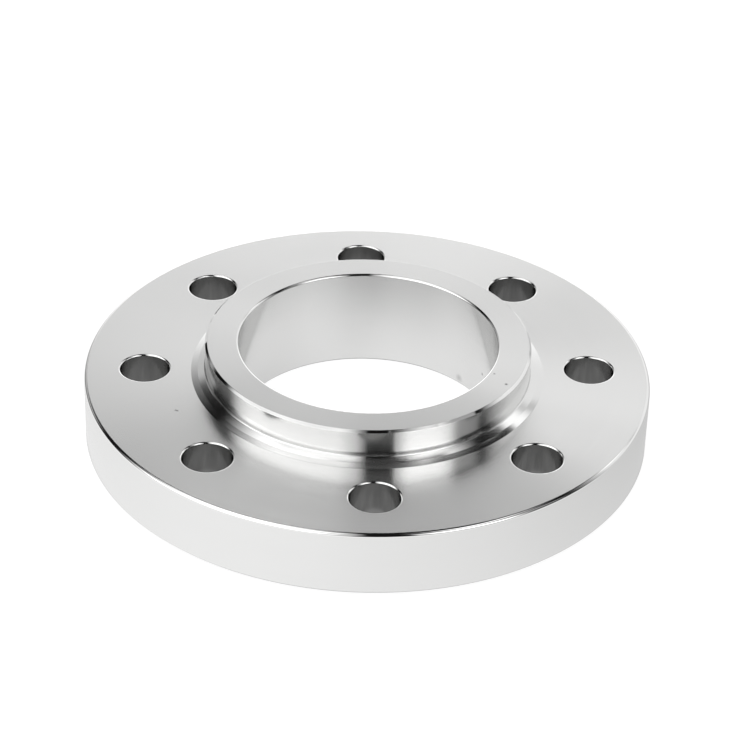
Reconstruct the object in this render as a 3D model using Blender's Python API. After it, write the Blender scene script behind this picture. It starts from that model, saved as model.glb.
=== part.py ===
"""A 4 inch class 300 slip on pipe flange, turned and drilled from one steel forging.

It lies on its raised gasket face, with the hub upwards. The origin is the middle of
that face, +Z runs up the bore and the first bolt hole is on +X. Sizes are in metres.
"""
import math

import bmesh
import bpy

# The turned body, from the bore outwards
BORE_DIAMETER = 0.1160          # slips over a pipe of 114.3 mm
HUB_WALL = 0.0150               # bore to hub side
HUB_TO_BOLT_HOLE = 0.0160       # flat left beside the hub for the nuts
BOLT_HOLE_DIAMETER = 0.0220     # clears an M20 or 3/4 inch stud bolt
BOLT_HOLE_TO_RIM = 0.0160       # metal left outside the bolt holes
RAISED_FACE_WIDTH = 0.0206      # gasket seat, bore to its outer edge

# Heights, from the gasket face up
RAISED_FACE_HEIGHT = 0.0016
PLATE_THICKNESS = 0.0302        # the bolted plate, without the raised face
HUB_HEIGHT = 0.0150             # above the plate

# The foot that the turning tool leaves round the hub: a steep slope, then a shallow one
FOOT_HEIGHT = 0.0020            # above the plate, where it meets the hub's side
FOOT_BREAK_HEIGHT = 0.0007      # above the plate, between the slopes
FOOT_STEEP_WIDTH = 0.0034       # from the hub's side outwards
FOOT_SHALLOW_WIDTH = 0.0028

BOLT_COUNT = 8

# Broken edges and the root of the hub
RIM_BACK_CHAMFER = 0.0015       # hub side
RIM_FRONT_CHAMFER = 0.0008      # gasket side
RAISED_FACE_CHAMFER = 0.0004
BORE_BACK_CHAMFER = 0.0010
BORE_FRONT_CHAMFER = 0.0010
HUB_CHAMFER = 0.0010
HUB_ROOT_RADIUS = 0.0010        # hub side to its foot
BOLT_HOLE_CHAMFER = 0.0008

# Facets
BODY_STEPS = 96                 # round the body
BOLT_HOLE_STEPS = 32            # round each bolt hole
ROOT_STEPS = 4                  # along the hub's root radius
SHARP_ANGLE = math.radians(25)  # edges steeper than this are shaded sharp

# The steel: bright, finely turned stainless
STEEL_COLOR = (0.82, 0.82, 0.815, 1.0)
STEEL_ROUGHNESS = 0.18

CUT_OVERRUN = 0.0040            # how far a cutter reaches past the metal

# Worked out from the sizes above
BORE_RADIUS = BORE_DIAMETER / 2
HUB_RADIUS = BORE_RADIUS + HUB_WALL
BOLT_HOLE_RADIUS = BOLT_HOLE_DIAMETER / 2
BOLT_CIRCLE_RADIUS = HUB_RADIUS + HUB_TO_BOLT_HOLE + BOLT_HOLE_RADIUS       # 100 mm
RIM_RADIUS = BOLT_CIRCLE_RADIUS + BOLT_HOLE_RADIUS + BOLT_HOLE_TO_RIM       # 127 mm
RAISED_FACE_RADIUS = BORE_RADIUS + RAISED_FACE_WIDTH
PLATE_FRONT = RAISED_FACE_HEIGHT
PLATE_BACK = PLATE_FRONT + PLATE_THICKNESS
HUB_TOP = PLATE_BACK + HUB_HEIGHT
FOOT_BREAK_RADIUS = HUB_RADIUS + FOOT_STEEP_WIDTH
FOOT_SLOPE = math.atan2(FOOT_HEIGHT - FOOT_BREAK_HEIGHT, FOOT_STEEP_WIDTH)  # from level


def clear_scene():
    for thing in list(bpy.data.objects):
        bpy.data.objects.remove(thing, do_unlink=True)


def arc(center, radius, start, end, steps):
    """Points (radius, height) along an arc in the turning plane, angles in degrees."""
    for step in range(steps + 1):
        angle = math.radians(start + (end - start) * step / steps)
        yield center[0] + radius * math.cos(angle), center[1] + radius * math.sin(angle)


def flange_profile():
    """The lathe profile, as (radius, height) points.

    It starts at the hub's outer edge, runs down the outside, in under the gasket face
    and back up the bore.
    """
    foot_under_center = PLATE_BACK + FOOT_HEIGHT - HUB_ROOT_RADIUS * math.tan(FOOT_SLOPE)
    root_center = (HUB_RADIUS + HUB_ROOT_RADIUS,
                   foot_under_center + HUB_ROOT_RADIUS / math.cos(FOOT_SLOPE))
    return [
        (HUB_RADIUS - HUB_CHAMFER, HUB_TOP),
        (HUB_RADIUS, HUB_TOP - HUB_CHAMFER),
        *arc(root_center, HUB_ROOT_RADIUS, 180, 270 - math.degrees(FOOT_SLOPE), ROOT_STEPS),
        (FOOT_BREAK_RADIUS, PLATE_BACK + FOOT_BREAK_HEIGHT),
        (FOOT_BREAK_RADIUS + FOOT_SHALLOW_WIDTH, PLATE_BACK),
        (RIM_RADIUS - RIM_BACK_CHAMFER, PLATE_BACK),
        (RIM_RADIUS, PLATE_BACK - RIM_BACK_CHAMFER),
        (RIM_RADIUS, PLATE_FRONT + RIM_FRONT_CHAMFER),
        (RIM_RADIUS - RIM_FRONT_CHAMFER, PLATE_FRONT),
        (RAISED_FACE_RADIUS, PLATE_FRONT),
        (RAISED_FACE_RADIUS, RAISED_FACE_CHAMFER),
        (RAISED_FACE_RADIUS - RAISED_FACE_CHAMFER, 0.0),
        (BORE_RADIUS + BORE_FRONT_CHAMFER, 0.0),
        (BORE_RADIUS, BORE_FRONT_CHAMFER),
        (BORE_RADIUS, HUB_TOP - BORE_BACK_CHAMFER),
        (BORE_RADIUS + BORE_BACK_CHAMFER, HUB_TOP),
    ]


def bolt_hole_profile():
    """The drill and both countersinks in one, a little longer than the hole."""
    mouth = BOLT_HOLE_RADIUS + BOLT_HOLE_CHAMFER + CUT_OVERRUN
    return [
        (0.0, PLATE_BACK + CUT_OVERRUN),
        (mouth, PLATE_BACK + CUT_OVERRUN),
        (BOLT_HOLE_RADIUS, PLATE_BACK - BOLT_HOLE_CHAMFER),
        (BOLT_HOLE_RADIUS, PLATE_FRONT + BOLT_HOLE_CHAMFER),
        (mouth, PLATE_FRONT - CUT_OVERRUN),
        (0.0, PLATE_FRONT - CUT_OVERRUN),
    ]


def turned(name, profile, steps):
    """Turn a closed profile once round Z, as on a lathe."""
    shape = bmesh.new()
    points = [shape.verts.new((radius, 0.0, height)) for radius, height in profile]
    lines = [shape.edges.new(pair) for pair in zip(points, points[1:] + points[:1])]
    bmesh.ops.spin(shape, geom=points + lines, cent=(0, 0, 0), axis=(0, 0, 1),
                   angle=2 * math.pi, steps=steps, use_merge=True)
    bmesh.ops.remove_doubles(shape, verts=shape.verts, dist=1e-6)
    bmesh.ops.recalc_face_normals(shape, faces=shape.faces)
    mesh = bpy.data.meshes.new(name)
    shape.to_mesh(mesh)
    shape.free()
    thing = bpy.data.objects.new(name, mesh)
    bpy.context.scene.collection.objects.link(thing)
    return thing


def drill(body, number, angle):
    """Cut one bolt hole into the body, on the bolt circle."""
    cutter = turned(f"bolt_hole_{number}_cutter", bolt_hole_profile(), BOLT_HOLE_STEPS)
    cutter.location = (BOLT_CIRCLE_RADIUS * math.cos(angle), BOLT_CIRCLE_RADIUS * math.sin(angle), 0.0)
    cutter.rotation_euler.z = angle
    cutter.hide_render = True
    cutter.display_type = "WIRE"
    cut = body.modifiers.new(f"bolt hole {number}", "BOOLEAN")
    cut.operation = "DIFFERENCE"
    cut.solver = "EXACT"
    cut.object = cutter


def settle(body):
    """Keep the drilled shape as the body's own mesh, shaded like metal with crisp edges."""
    cutters = [cut.object for cut in body.modifiers]
    drilled = body.evaluated_get(bpy.context.evaluated_depsgraph_get())
    mesh = bpy.data.meshes.new_from_object(drilled)
    body.modifiers.clear()
    body.data = mesh
    for cutter in cutters:
        bpy.data.objects.remove(cutter, do_unlink=True)
    mesh.shade_smooth()
    mesh.set_sharp_from_angle(angle=SHARP_ANGLE)


def steel():
    material = bpy.data.materials.new("machined_steel")
    material.use_nodes = True
    surface = material.node_tree.nodes["Principled BSDF"]
    surface.inputs["Base Color"].default_value = STEEL_COLOR
    surface.inputs["Metallic"].default_value = 1.0
    surface.inputs["Roughness"].default_value = STEEL_ROUGHNESS
    return material


def main():
    clear_scene()
    flange = turned("flange", flange_profile(), BODY_STEPS)
    for number in range(BOLT_COUNT):
        drill(flange, number + 1, 2 * math.pi * number / BOLT_COUNT)
    bpy.context.view_layer.update()
    settle(flange)
    flange.data.materials.clear()
    flange.data.materials.append(steel())


main()
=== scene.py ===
"""Looks of the slip on flange: bright turned stainless steel on a white table.

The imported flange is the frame. A finer mesh of the same sizes takes its place, with its edges
rounded, and each kind of machined surface has its own finish.
The values set by name are in metres and degrees, unless a comment says otherwise.
"""

import math

import bpy
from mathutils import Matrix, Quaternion, Vector
from mathutils.geometry import tessellate_polygon


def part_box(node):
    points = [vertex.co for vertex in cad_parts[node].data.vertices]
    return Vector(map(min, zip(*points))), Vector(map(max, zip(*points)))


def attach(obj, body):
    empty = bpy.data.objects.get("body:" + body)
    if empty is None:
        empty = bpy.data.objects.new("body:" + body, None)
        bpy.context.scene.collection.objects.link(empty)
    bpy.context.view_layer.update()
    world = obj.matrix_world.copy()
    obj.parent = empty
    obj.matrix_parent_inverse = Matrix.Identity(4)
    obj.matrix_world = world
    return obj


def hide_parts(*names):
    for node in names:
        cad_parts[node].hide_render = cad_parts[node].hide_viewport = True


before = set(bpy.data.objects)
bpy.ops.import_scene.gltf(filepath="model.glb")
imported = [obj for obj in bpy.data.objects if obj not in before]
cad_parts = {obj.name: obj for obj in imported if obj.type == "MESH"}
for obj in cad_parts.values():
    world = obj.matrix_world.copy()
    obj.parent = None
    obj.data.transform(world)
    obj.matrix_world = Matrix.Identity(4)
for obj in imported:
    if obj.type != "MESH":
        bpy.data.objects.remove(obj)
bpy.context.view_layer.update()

# Sizes of the flange

flange_low, flange_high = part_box("flange")
RIM_RADIUS = (flange_high.x - flange_low.x) / 2
HUB_TOP = flange_high.z
GASKET_FACE = flange_low.z
PLATE_FRONT = 0.0016            # foot of the raised face
PLATE_BACK = 0.0318
HUB_RADIUS = 0.0730
BORE_RADIUS = 0.0580
RAISED_FACE_RADIUS = 0.0786
BOLT_CIRCLE_RADIUS = 0.1000
BOLT_HOLE_RADIUS = 0.0110
BOLT_COUNT = 8

# What is taken off the edges. The rim's back edge, the bore's upper edge and the bolt holes' upper
# edges are rounded over this size. The others are chamfers.
RIM_BACK_CHAMFER = 0.0015
RIM_FRONT_CHAMFER = 0.0008
HUB_CHAMFER = 0.0010
BORE_CHAMFER = 0.0010
RAISED_FACE_CHAMFER = 0.0004
BOLT_HOLE_CHAMFER = 0.0008
EDGE_RADIUS = 0.00018           # what deburring leaves on the corners that nothing else rounds

HUB_ROOT_RADIUS = 0.0010
FOOT_HEIGHT = 0.0020            # the foot of the hub: a steep slope from here over the plate,
FOOT_BREAK_RADIUS = 0.0764      # then a shallow one from here
FOOT_BREAK_HEIGHT = 0.0007
FOOT_BREAK_ROUNDING = 0.0030
FOOT_RADIUS = 0.0792            # to here, level with the plate
FOOT_ROUNDING = 0.0020

TURN_STEPS = 360                # round the flange
HOLE_STEPS = 96                 # round a bolt hole
EDGE_STEPS = 3                  # along a deburred corner
ROUNDING_STEPS = 12             # along a larger rounding


# Turned surfaces

class Corner:
    """A corner of a turned outline: its place, the radius that rounds it, the finish of the
    surface that follows and the finish of the bend itself."""

    def __init__(self, radius, height, rounding=EDGE_RADIUS, finish="edge", bend="edge"):
        self.place = Vector((radius, height))
        self.rounding, self.finish, self.bend = rounding, finish, bend
        self.steps = EDGE_STEPS if rounding == EDGE_RADIUS else ROUNDING_STEPS


class Station:
    """One ring of a turned surface: its radius and height, its normal's angle over the level and
    the finish of the strip that follows."""

    def __init__(self, place, angle, finish):
        self.place, self.angle, self.finish = place, angle, finish


def rounded(before, corner, after):
    """The stations along one rounded corner. Metal lies to the right of the outline."""
    inward = (corner.place - before.place).normalized()
    outward = (after.place - corner.place).normalized()
    turn = math.atan2(inward.cross(outward), inward.dot(outward))
    side = -math.copysign(1.0, turn)                # 1 at an outer edge, -1 in a hollow
    start = math.atan2(inward.x, -inward.y)         # direction of the outward normal
    centre = (corner.place - inward * corner.rounding * math.tan(abs(turn) / 2)
              - side * corner.rounding * Vector((math.cos(start), math.sin(start))))
    for step in range(corner.steps + 1):
        angle = start + turn * step / corner.steps
        place = centre + side * corner.rounding * Vector((math.cos(angle), math.sin(angle)))
        yield Station(place, angle, corner.bend if step < corner.steps else corner.finish)


def stations(corners, closed):
    """All stations of an outline. An open outline's two end points only give directions."""
    count = len(corners)
    inner = range(count) if closed else range(1, count - 1)
    outline = []
    for index in inner:
        outline += rounded(corners[index - 1], corners[index], corners[(index + 1) % count])
    return outline


class Metal:
    """The mesh under construction: points with their exact normals, and faces with finishes."""

    def __init__(self, finishes):
        self.finishes = finishes
        self.points, self.normals, self.faces, self.face_finishes = [], [], [], []

    def ring(self, station, centre, steps):
        """Add the points of one ring and return their indices."""
        first = len(self.points)
        for step in range(steps):
            turn = 2 * math.pi * step / steps
            outward = Vector((math.cos(turn), math.sin(turn), 0.0))
            self.points.append(centre + outward * station.place.x + Vector((0, 0, station.place.y)))
            self.normals.append(outward * math.cos(station.angle)
                                + Vector((0, 0, math.sin(station.angle))))
        return list(range(first, first + steps))

    def add(self, face, finish):
        self.faces.append(face)
        self.face_finishes.append(self.finishes.index(finish))

    def turned(self, outline, centre, steps, closed):
        """Turn stations round a vertical axis. A finish of None leaves that strip open."""
        rings = [self.ring(station, centre, steps) for station in outline]
        pairs = list(zip(rings, rings[1:] + rings[:1])) if closed else list(zip(rings, rings[1:]))
        for station, (upper, lower) in zip(outline, pairs):
            if station.finish is None:
                continue
            for step in range(steps):
                after = (step + 1) % steps
                self.add((upper[step], lower[step], lower[after], upper[after]), station.finish)
        return rings

    def flat(self, outer, holes, up, finish):
        """Fill the flat surface inside one ring and outside the others."""
        loops = [outer] + holes
        order = [index for loop in loops for index in loop]
        places = [[self.points[index] for index in loop] for loop in loops]
        for triangle in tessellate_polygon(places):
            face = [order[corner] for corner in triangle]
            a, b, c = (self.points[index] for index in face)
            if ((b - a).cross(c - a).z > 0) != up:
                face.reverse()
            self.add(tuple(face), finish)

    def mesh(self, name):
        mesh = bpy.data.meshes.new(name)
        mesh.from_pydata(self.points, [], self.faces)
        mesh.polygons.foreach_set("material_index", self.face_finishes)
        mesh.shade_smooth()
        mesh.normals_split_custom_set_from_vertices(self.normals)
        return mesh


def body_corners():
    """The flange's outline: down the outside, in under the gasket face and up the bore."""
    return [
        Corner(HUB_RADIUS - HUB_CHAMFER, HUB_TOP, finish="edge"),
        Corner(HUB_RADIUS, HUB_TOP - HUB_CHAMFER, finish="hub_side"),
        Corner(HUB_RADIUS, PLATE_BACK + FOOT_HEIGHT, HUB_ROOT_RADIUS, "root", "root"),
        Corner(FOOT_BREAK_RADIUS, PLATE_BACK + FOOT_BREAK_HEIGHT, FOOT_BREAK_ROUNDING,
               "root", "root"),
        Corner(FOOT_RADIUS, PLATE_BACK, FOOT_ROUNDING, None, "root"),
        Corner(RIM_RADIUS, PLATE_BACK, RIM_BACK_CHAMFER, finish="rim"),
        Corner(RIM_RADIUS, PLATE_FRONT + RIM_FRONT_CHAMFER, finish="edge"),
        Corner(RIM_RADIUS - RIM_FRONT_CHAMFER, PLATE_FRONT, finish=None),
        Corner(RAISED_FACE_RADIUS, PLATE_FRONT, finish="edge"),
        Corner(RAISED_FACE_RADIUS, GASKET_FACE + RAISED_FACE_CHAMFER, finish="edge"),
        Corner(RAISED_FACE_RADIUS - RAISED_FACE_CHAMFER, GASKET_FACE, finish="gasket_face"),
        Corner(BORE_RADIUS + BORE_CHAMFER, GASKET_FACE, finish="edge"),
        Corner(BORE_RADIUS, GASKET_FACE + BORE_CHAMFER, finish="bore"),
        Corner(BORE_RADIUS, HUB_TOP, BORE_CHAMFER, finish="hub_face"),
    ]


def bolt_hole_corners():
    """A bolt hole's outline, from the plate's front up the hole to its back."""
    mouth = BOLT_HOLE_RADIUS + BOLT_HOLE_CHAMFER
    beyond = 2 * mouth          # out on the plate, where it only gives a direction
    return [
        Corner(beyond, PLATE_FRONT),
        Corner(mouth, PLATE_FRONT, finish="edge"),
        Corner(BOLT_HOLE_RADIUS, PLATE_FRONT + BOLT_HOLE_CHAMFER, finish="bolt_hole"),
        Corner(BOLT_HOLE_RADIUS, PLATE_BACK, BOLT_HOLE_CHAMFER, finish=None),
        Corner(beyond, PLATE_BACK),
    ]


def flange_mesh():
    """The body turned in one piece, the bolt holes, and the two plate faces between them."""
    metal = Metal(list(LOOKS))
    outline = stations(body_corners(), closed=True)
    rings = metal.turned(outline, Vector(), TURN_STEPS, closed=True)
    open_strips = [index for index, station in enumerate(outline) if station.finish is None]
    back_inner, front_outer = (rings[index] for index in open_strips)
    back_outer, front_inner = (rings[index + 1] for index in open_strips)
    hole = stations(bolt_hole_corners(), closed=False)
    mouths = []
    for number in range(BOLT_COUNT):
        turn = 2 * math.pi * number / BOLT_COUNT
        centre = BOLT_CIRCLE_RADIUS * Vector((math.cos(turn), math.sin(turn), 0.0))
        hole_rings = metal.turned(hole, centre, HOLE_STEPS, closed=False)
        mouths.append((hole_rings[0], hole_rings[-1]))
    metal.flat(back_outer, [back_inner] + [back for front, back in mouths], True, "plate_face")
    metal.flat(front_outer, [front_inner] + [front for front, back in mouths], False, "plate_front")
    return metal.mesh("turned_flange")


# Shader writing

class Value:
    """A number socket that Python arithmetic can be written with."""

    def __init__(self, nodes, socket):
        self.nodes, self.socket = nodes, socket

    def __add__(self, other):
        return self.nodes.math("ADD", self, other)

    def __sub__(self, other):
        return self.nodes.math("SUBTRACT", self, other)

    def __rsub__(self, other):
        return self.nodes.math("SUBTRACT", other, self)

    def __mul__(self, other):
        return self.nodes.math("MULTIPLY", self, other)

    def __truediv__(self, other):
        return self.nodes.math("DIVIDE", self, other)

    __radd__, __rmul__ = __add__, __mul__


class Nodes:
    """A node tree, emptied, with one way to add any node to it."""

    def __init__(self, owner):
        owner.use_nodes = True
        self.tree = owner.node_tree
        self.tree.nodes.clear()

    def add(self, kind, settings=None, inputs=None, output=0):
        """Add a node, set it up, fill or link its inputs and return one of its outputs."""
        node = self.tree.nodes.new(kind)
        for name, value in (settings or {}).items():
            setattr(node, name, value)
        for name, value in (inputs or {}).items():
            if isinstance(value, Value):
                self.tree.links.new(value.socket, node.inputs[name])
            else:
                node.inputs[name].default_value = value
        return Value(self, node.outputs[output]) if len(node.outputs) else node

    def math(self, operation, *inputs):
        return self.add("ShaderNodeMath", {"operation": operation}, dict(enumerate(inputs)))

    def vector(self, operation, *inputs, output=0):
        return self.add("ShaderNodeVectorMath", {"operation": operation},
                        dict(enumerate(inputs)), output)

    def rise(self, value, low, high):
        """0 up to low, 1 from high on, with a smooth change between."""
        return self.add("ShaderNodeMapRange", {"interpolation_type": "SMOOTHSTEP"},
                        {"Value": value, "From Min": low, "From Max": high})

    def soft_step(self, value, middle, reach):
        """0 below middle - reach, 1 above middle + reach."""
        return self.rise(value, middle - reach, middle + reach)

    def unevenness(self, vector, scale=1.0):
        """Soft noise about 0, between -0.5 and 0.5."""
        return self.add("ShaderNodeTexNoise", None, {"Vector": vector, "Scale": scale}, "Fac") - 0.5


# Camera

IMAGE_SIDE = 750                # pixels, a square photograph
FOCAL_PIXELS = 2714.5
SENSOR_WIDTH = 36.0             # mm
CAMERA_DISTANCE = 1.2222        # from the middle of the plate's back
CAMERA_ELEVATION = 32.501
CAMERA_AZIMUTH = -2.712         # off the line through two opposite bolt holes
CAMERA_PAN = 0.161              # where the camera aims, beside that middle
CAMERA_TILT = -0.123
CAMERA_ROLL = 1.847
NEAREST_SEEN, FARTHEST_SEEN = 0.05, 60.0


def toward_camera():
    """Unit vector from the flange's axis to the camera, level with the table."""
    azimuth = math.radians(CAMERA_AZIMUTH)
    return Vector((math.sin(azimuth), -math.cos(azimuth), 0.0))


def right_of_camera():
    """Unit vector to the right in the photograph, level with the table."""
    return Vector((0, 0, 1)).cross(toward_camera())


def place_camera():
    """Set the camera where the photograph was taken from."""
    elevation = math.radians(CAMERA_ELEVATION)
    back = toward_camera() * math.cos(elevation) + Vector((0, 0, math.sin(elevation)))
    right = right_of_camera()
    up = back.cross(right)
    aim = (right * math.tan(math.radians(CAMERA_PAN)) + up * math.tan(math.radians(CAMERA_TILT))
           - back).normalized()
    lens = bpy.data.cameras.new("photo_camera")
    lens.sensor_width = SENSOR_WIDTH
    lens.lens = FOCAL_PIXELS / IMAGE_SIDE * SENSOR_WIDTH
    lens.clip_start, lens.clip_end = NEAREST_SEEN, FARTHEST_SEEN
    camera = bpy.data.objects.new("photo_camera", lens)
    camera.location = Vector((0, 0, PLATE_BACK)) + back * CAMERA_DISTANCE
    roll = Quaternion((0, 0, 1), math.radians(CAMERA_ROLL))
    camera.rotation_mode = "QUATERNION"
    camera.rotation_quaternion = aim.to_track_quat("-Z", "Y") @ roll
    bpy.context.scene.collection.objects.link(camera)
    bpy.context.scene.camera = camera


# Studio

class Panel:
    """A soft edged light of the studio: its left and right azimuth, its low and high elevation,
    how far each edge softens to both sides, and its strength. The upper edge rises with the
    azimuth, by slope. Azimuth 0 is the camera's, and it grows to the right."""

    def __init__(self, left, right, side_edge, low, low_edge, high, high_edge, strength, slope=0.0):
        self.middle, self.half_width = (left + right) / 2, (right - left) / 2
        self.side_edge = side_edge
        self.low, self.low_edge, self.high, self.high_edge = low, low_edge, high, high_edge
        self.strength, self.slope = strength, slope


STUDIO = {
    "left softbox": Panel(-107.7, -1.7, 5.4, 24.3, 8.6, 48.9, 9.0, 0.96, -0.11),
    "left softbox, low": Panel(-92.2, -11.0, 10.5, 7.8, 12.0, 29.4, 4.2, 1.98),
    "left softbox, high": Panel(-101.7, -9.3, 16.0, 51.1, 11.9, 83.9, 9.8, 1.42, 0.07),
    "right softbox": Panel(18.4, 62.3, 10.0, 20.7, 4.5, 55.5, 11.6, 0.85, 0.49),
    "right softbox, low": Panel(25.2, 60.2, 7.2, 13.0, 9.0, 31.4, 7.0, 2.18, -0.04),
    "dim wall on the right": Panel(59.7, 86.1, 0.8, 25.3, 1.0, 50.6, 1.0, 0.37, -0.16),
    "back wall, left and high": Panel(-177.6, -107.9, 2.5, 53.1, 9.7, 78.2, 14.0, 1.60, 0.57),
    "back wall, right": Panel(97, 189, 11, 0.4, 6.8, 35.5, 2, 0.90),
    "back wall, left": Panel(-193, -157, 15, -6, 6, 25, 12, 1.33, 0.3),
    "dim wall at the back, left": Panel(-153, -125, 4, 10, 5, 28.0, 2.5, 0.42),
    "lamp at the back, right": Panel(122.0, 170.1, 8.9, 37.2, 3.5, 45.2, 1.0, 1.25, -0.21),
    "ceiling on the right": Panel(62.1, 151.4, 7.2, 62.2, 7.8, 71.2, 1.9, 1.80, -0.23),
}
GAP_LEFT, GAP_RIGHT, GAP_EDGE = 1.3, 20.1, 1.0      # a dark gap in all the lights above
STRIP = Panel(20.2, 21.6, 0.3, 0, 1, 60, 1, 0.2)    # a bright upright at its right edge
DARK = 0.007                                        # strength of the studio between its lights


def build_world():
    """Plain white to the camera. All else sees the studio's lights and the dark between them."""
    world = bpy.data.worlds.new("white_studio")
    bpy.context.scene.world = world
    nodes = Nodes(world)
    way = nodes.add("ShaderNodeTexCoord", output="Generated")
    side = nodes.vector("DOT_PRODUCT", way, right_of_camera(), output="Value")
    near = nodes.vector("DOT_PRODUCT", way, toward_camera(), output="Value")
    height = nodes.add("ShaderNodeSeparateXYZ", None, {0: way}, output="Z")
    azimuth = nodes.math("ARCTAN2", side, near) * math.degrees(1)
    elevation = nodes.math("ARCSINE", height) * math.degrees(1)

    def off_middle(middle):
        """Degrees of azimuth from a middle, -180 to 180."""
        return nodes.math("WRAP", azimuth - middle, 180, -180)

    def glow(panel):
        off = off_middle(panel.middle)
        return panel.strength * (
            (1 - nodes.soft_step(nodes.math("ABSOLUTE", off), panel.half_width, panel.side_edge))
            * nodes.soft_step(elevation, panel.low, panel.low_edge)
            * (1 - nodes.soft_step(elevation - off * panel.slope, panel.high, panel.high_edge)))

    light = sum(glow(panel) for panel in STUDIO.values())
    off = off_middle((GAP_LEFT + GAP_RIGHT) / 2)
    light = light * nodes.soft_step(nodes.math("ABSOLUTE", off),
                                    (GAP_RIGHT - GAP_LEFT) / 2, GAP_EDGE)
    light = light + glow(STRIP)
    seen = nodes.add("ShaderNodeLightPath", output="Is Camera Ray")
    strength = (light + DARK) * (1 - seen) + seen
    surface = nodes.add("ShaderNodeBackground", None, {"Color": (1, 1, 1, 1), "Strength": strength})
    nodes.add("ShaderNodeOutputWorld", None, {"Surface": surface})


TABLE_REACH = 20.0
TABLE_GLOW = 0.9                # near white by itself, so that the flange's shadow stays light
TABLE_GREY = 0.25               # what takes the light and the shadow

# Painted light of the table, which only the steel sees in place of the light the table throws back:
# mean strength, and how it changes toward the camera's side and to the right of it. Under the
# plate, a painted shadow.
PAINTED_TABLE_LIGHT_IN_BORE = (0.78, -0.27, 0.096)
PAINTED_TABLE_LIGHT_OUTSIDE = (0.79, 0.17, -0.12)
# painted shadow under the plate, as the steel sees it
PAINTED_SHADE_UNDER_PLATE = 0.30
IN_BORE_EDGE = 0.001            # how far these run into each other
OUTSIDE_EDGE = 0.002


def build_table():
    """White paper. The steel sees a painted glow of it instead, darker than the paper, with painted
    shade under the plate.
    """
    corners = [(-1, -1), (1, -1), (1, 1), (-1, 1)]
    mesh = bpy.data.meshes.new("white_table")
    mesh.from_pydata([(x * TABLE_REACH, y * TABLE_REACH, 0) for x, y in corners],
                     [], [(0, 1, 2, 3)])
    table = bpy.data.objects.new("white_table", mesh)
    bpy.context.scene.collection.objects.link(table)
    paper = bpy.data.materials.new("white_table")
    nodes = Nodes(paper)
    place = nodes.add("ShaderNodeTexCoord", output="Object")
    radius = nodes.vector("LENGTH", place, output="Value")
    outward = nodes.vector("NORMALIZE", place)
    near = nodes.vector("DOT_PRODUCT", outward, toward_camera(), output="Value")
    side = nodes.vector("DOT_PRODUCT", outward, right_of_camera(), output="Value")

    def field(mean, nearer, sideways):
        return mean + near * nearer + side * sideways

    # The glow the steel sees is painted light, brighter and darker by side, with painted shade
    # under the plate.
    outside = nodes.soft_step(radius, RIM_RADIUS, OUTSIDE_EDGE)
    in_bore = 1 - nodes.soft_step(radius, BORE_RADIUS, IN_BORE_EDGE)
    light = (field(*PAINTED_TABLE_LIGHT_OUTSIDE) * outside + field(*PAINTED_TABLE_LIGHT_IN_BORE) * in_bore
             + PAINTED_SHADE_UNDER_PLATE * (1 - outside) * (1 - in_bore))
    # Glossy rays see the painted glow. All other rays see the white paper and its real shadow.
    path = nodes.add("ShaderNodeLightPath", output="Is Glossy Ray")
    painted_table_glow = nodes.add("ShaderNodeEmission", None, {"Color": (1, 1, 1, 1), "Strength": light})
    base = nodes.add("ShaderNodeEmission", None, {"Color": (1, 1, 1, 1), "Strength": TABLE_GLOW})
    shade = nodes.add("ShaderNodeBsdfDiffuse", None, {"Color": (TABLE_GREY,) * 3 + (1,)})
    lit = nodes.add("ShaderNodeAddShader", None, {0: base, 1: shade})
    surface = nodes.add("ShaderNodeMixShader", None, {0: path, 1: lit, 2: painted_table_glow})
    nodes.add("ShaderNodeOutputMaterial", None, {"Surface": surface})
    paper.cycles.emission_sampling = "NONE"
    mesh.materials.append(paper)


# Steel finishes

STEEL = (0.82, 0.82, 0.815)
HANDLING = 35.0                         # patches per metre of the faint unevenness from handling
ROUGHNESS_VARIED = 0.25                 # how far marks and handling vary the roughness
ACROSS_THE_RINGS = 0.25                 # of a turn: turned steel stretches reflections this way
HAZE_ROUGHNESS = 0.55
SERRATIONS = 2 * math.pi / 0.0008       # the gasket face's grooves, 0.8 mm apart
SERRATION_DEPTH = 0.00003


class Finish:
    """A machined surface: its roughness, how far the tool's marks stretch the reflections, its
    tone beside plain steel, the marks' spacing and height, how much the marks change along the
    tool's path, how far marks and handling vary the tone, and the share of hazy steel, which
    grows from none at the hub's foot to this at its top. In the bolt holes the tone is painted
    shade."""

    def __init__(self, roughness, grain, tone=1.0, spacing=0.0011, height=5e-7, streaks=1.5,
                 varied=0.03, haze=0.0):
        self.roughness, self.grain, self.tone, self.spacing = roughness, grain, tone, spacing
        self.height, self.streaks, self.varied, self.haze = height, streaks, varied, haze


LOOKS = {
    "plate_face": Finish(0.175, 0.97, tone=1.01),
    "hub_face": Finish(0.14, 1.0, tone=0.92),
    "hub_side": Finish(0.08, 1.0, height=3e-7, haze=0.22),
    "rim": Finish(0.2, 0.8),
    "bore": Finish(0.22, 1.0, tone=0.88),
    # The bolt holes' dark tone is painted shade, the dark down in the holes. Their strong variation
    # of tone is partly drilling marks and partly painted bands of light and shade.
    "bolt_hole": Finish(0.13, 0.0, tone=0.71, spacing=0.012, streaks=2.6, varied=0.5),
    "edge": Finish(0.06, 0.0, tone=1.08, spacing=0.0008, streaks=6.0, varied=0.08),
    "root": Finish(0.12, 1.0, spacing=0.002, height=2e-7),
    "plate_front": Finish(0.175, 0.97),
    "gasket_face": Finish(0.25, 0.7),
}


class Speck:
    """A small dark pit or stain: the surface and the place (mm) it is on, its size (mm), how
    dark it is."""

    def __init__(self, finish, place, size, depth):
        self.finish, self.depth = finish, depth
        self.place, self.size = Vector(place) / 1000, size / 1000


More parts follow.
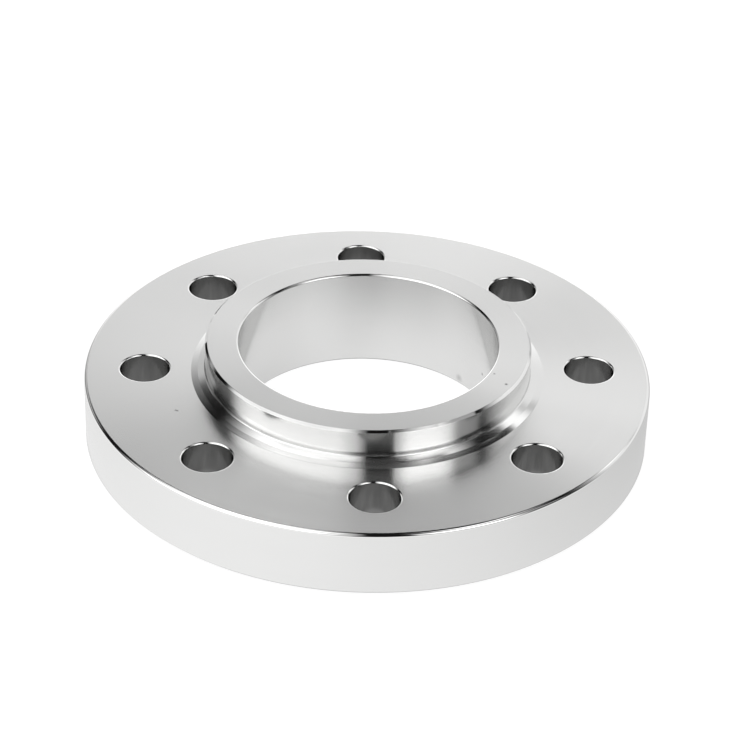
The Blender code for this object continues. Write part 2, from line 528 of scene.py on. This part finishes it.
SPECKS = [
    Speck("plate_face", (-85.2, -34.4, 31.8), 0.9, 0.6),
    Speck("plate_face", (-84.5, -34.8, 31.8), 0.9, 0.6),
    Speck("hub_face", (59.2, -35.4, 46.8), 1.0, 0.9),
    Speck("hub_face", (54.6, -27.0, 46.8), 0.8, 0.6),
    Speck("bore", (54.0, 21.3, 15.7), 1.0, 0.7),
    Speck("bore", (44.7, 37.0, 3.5), 3.0, 0.25),
]


def steel(finish):
    """The material of one finish. Its marks run round the axis, and up and down in a bolt hole."""
    look = LOOKS[finish]
    material = bpy.data.materials.new("steel_" + finish)
    nodes = Nodes(material)
    place = nodes.add("ShaderNodeTexCoord", output="Object")
    across = nodes.vector("MULTIPLY", place, (1, 1, 0))
    radius = nodes.vector("LENGTH", across, output="Value")
    height = nodes.add("ShaderNodeSeparateXYZ", None, {0: place}, "Z")
    if finish == "bolt_hole":
        outward = nodes.add("ShaderNodeTexCoord", output="Normal")
        marks_place = height
    else:
        outward = nodes.vector("NORMALIZE", across)
        marks_place = radius + height
    path = nodes.add("ShaderNodeCombineXYZ", None, {"Z": marks_place / look.spacing})
    marks = nodes.unevenness(nodes.vector("MULTIPLY_ADD", outward, (look.streaks,) * 3, path))
    handling = nodes.unevenness(place, HANDLING)
    # In the bolt holes this tone carries painted shade and painted bands of light.
    tone = look.tone * (1 + marks * look.varied + handling * look.varied)
    for speck in SPECKS:
        if speck.finish == finish:
            distance = nodes.vector("DISTANCE", place, speck.place, output="Value")
            tone = tone * (1 - speck.depth * (1 - nodes.rise(distance, 0, speck.size)))
    relief, depth = marks, look.height
    if finish == "gasket_face":
        relief, depth = nodes.math("SINE", radius * SERRATIONS), SERRATION_DEPTH
    bump = nodes.add("ShaderNodeBump", None, {"Height": relief, "Distance": depth})
    color = nodes.vector("MULTIPLY", tone, STEEL)

    def metal(roughness, grain):
        return nodes.add("ShaderNodeBsdfPrincipled", None, {
            "Base Color": color, "Metallic": 1.0,
            "Roughness": roughness * (1 + marks * ROUGHNESS_VARIED + handling * ROUGHNESS_VARIED),
            "Anisotropic": grain, "Anisotropic Rotation": ACROSS_THE_RINGS, "Normal": bump})

    surface = metal(look.roughness, look.grain)
    if look.haze:
        worn = look.haze * nodes.rise(height, PLATE_BACK + FOOT_HEIGHT, HUB_TOP)
        surface = nodes.add("ShaderNodeMixShader", None,
                            {0: worn, 1: surface, 2: metal(HAZE_ROUGHNESS, 0.0)})
    nodes.add("ShaderNodeOutputMaterial", None, {"Surface": surface})
    return material


def build_flange():
    mesh = flange_mesh()
    for finish in LOOKS:
        mesh.materials.append(steel(finish))
    flange = bpy.data.objects.new("turned_flange", mesh)
    bpy.context.scene.collection.objects.link(flange)
    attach(flange, "root")
    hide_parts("flange")


bpy.context.scene.view_settings.view_transform = "Standard"
build_flange()
build_table()
build_world()
place_camera()
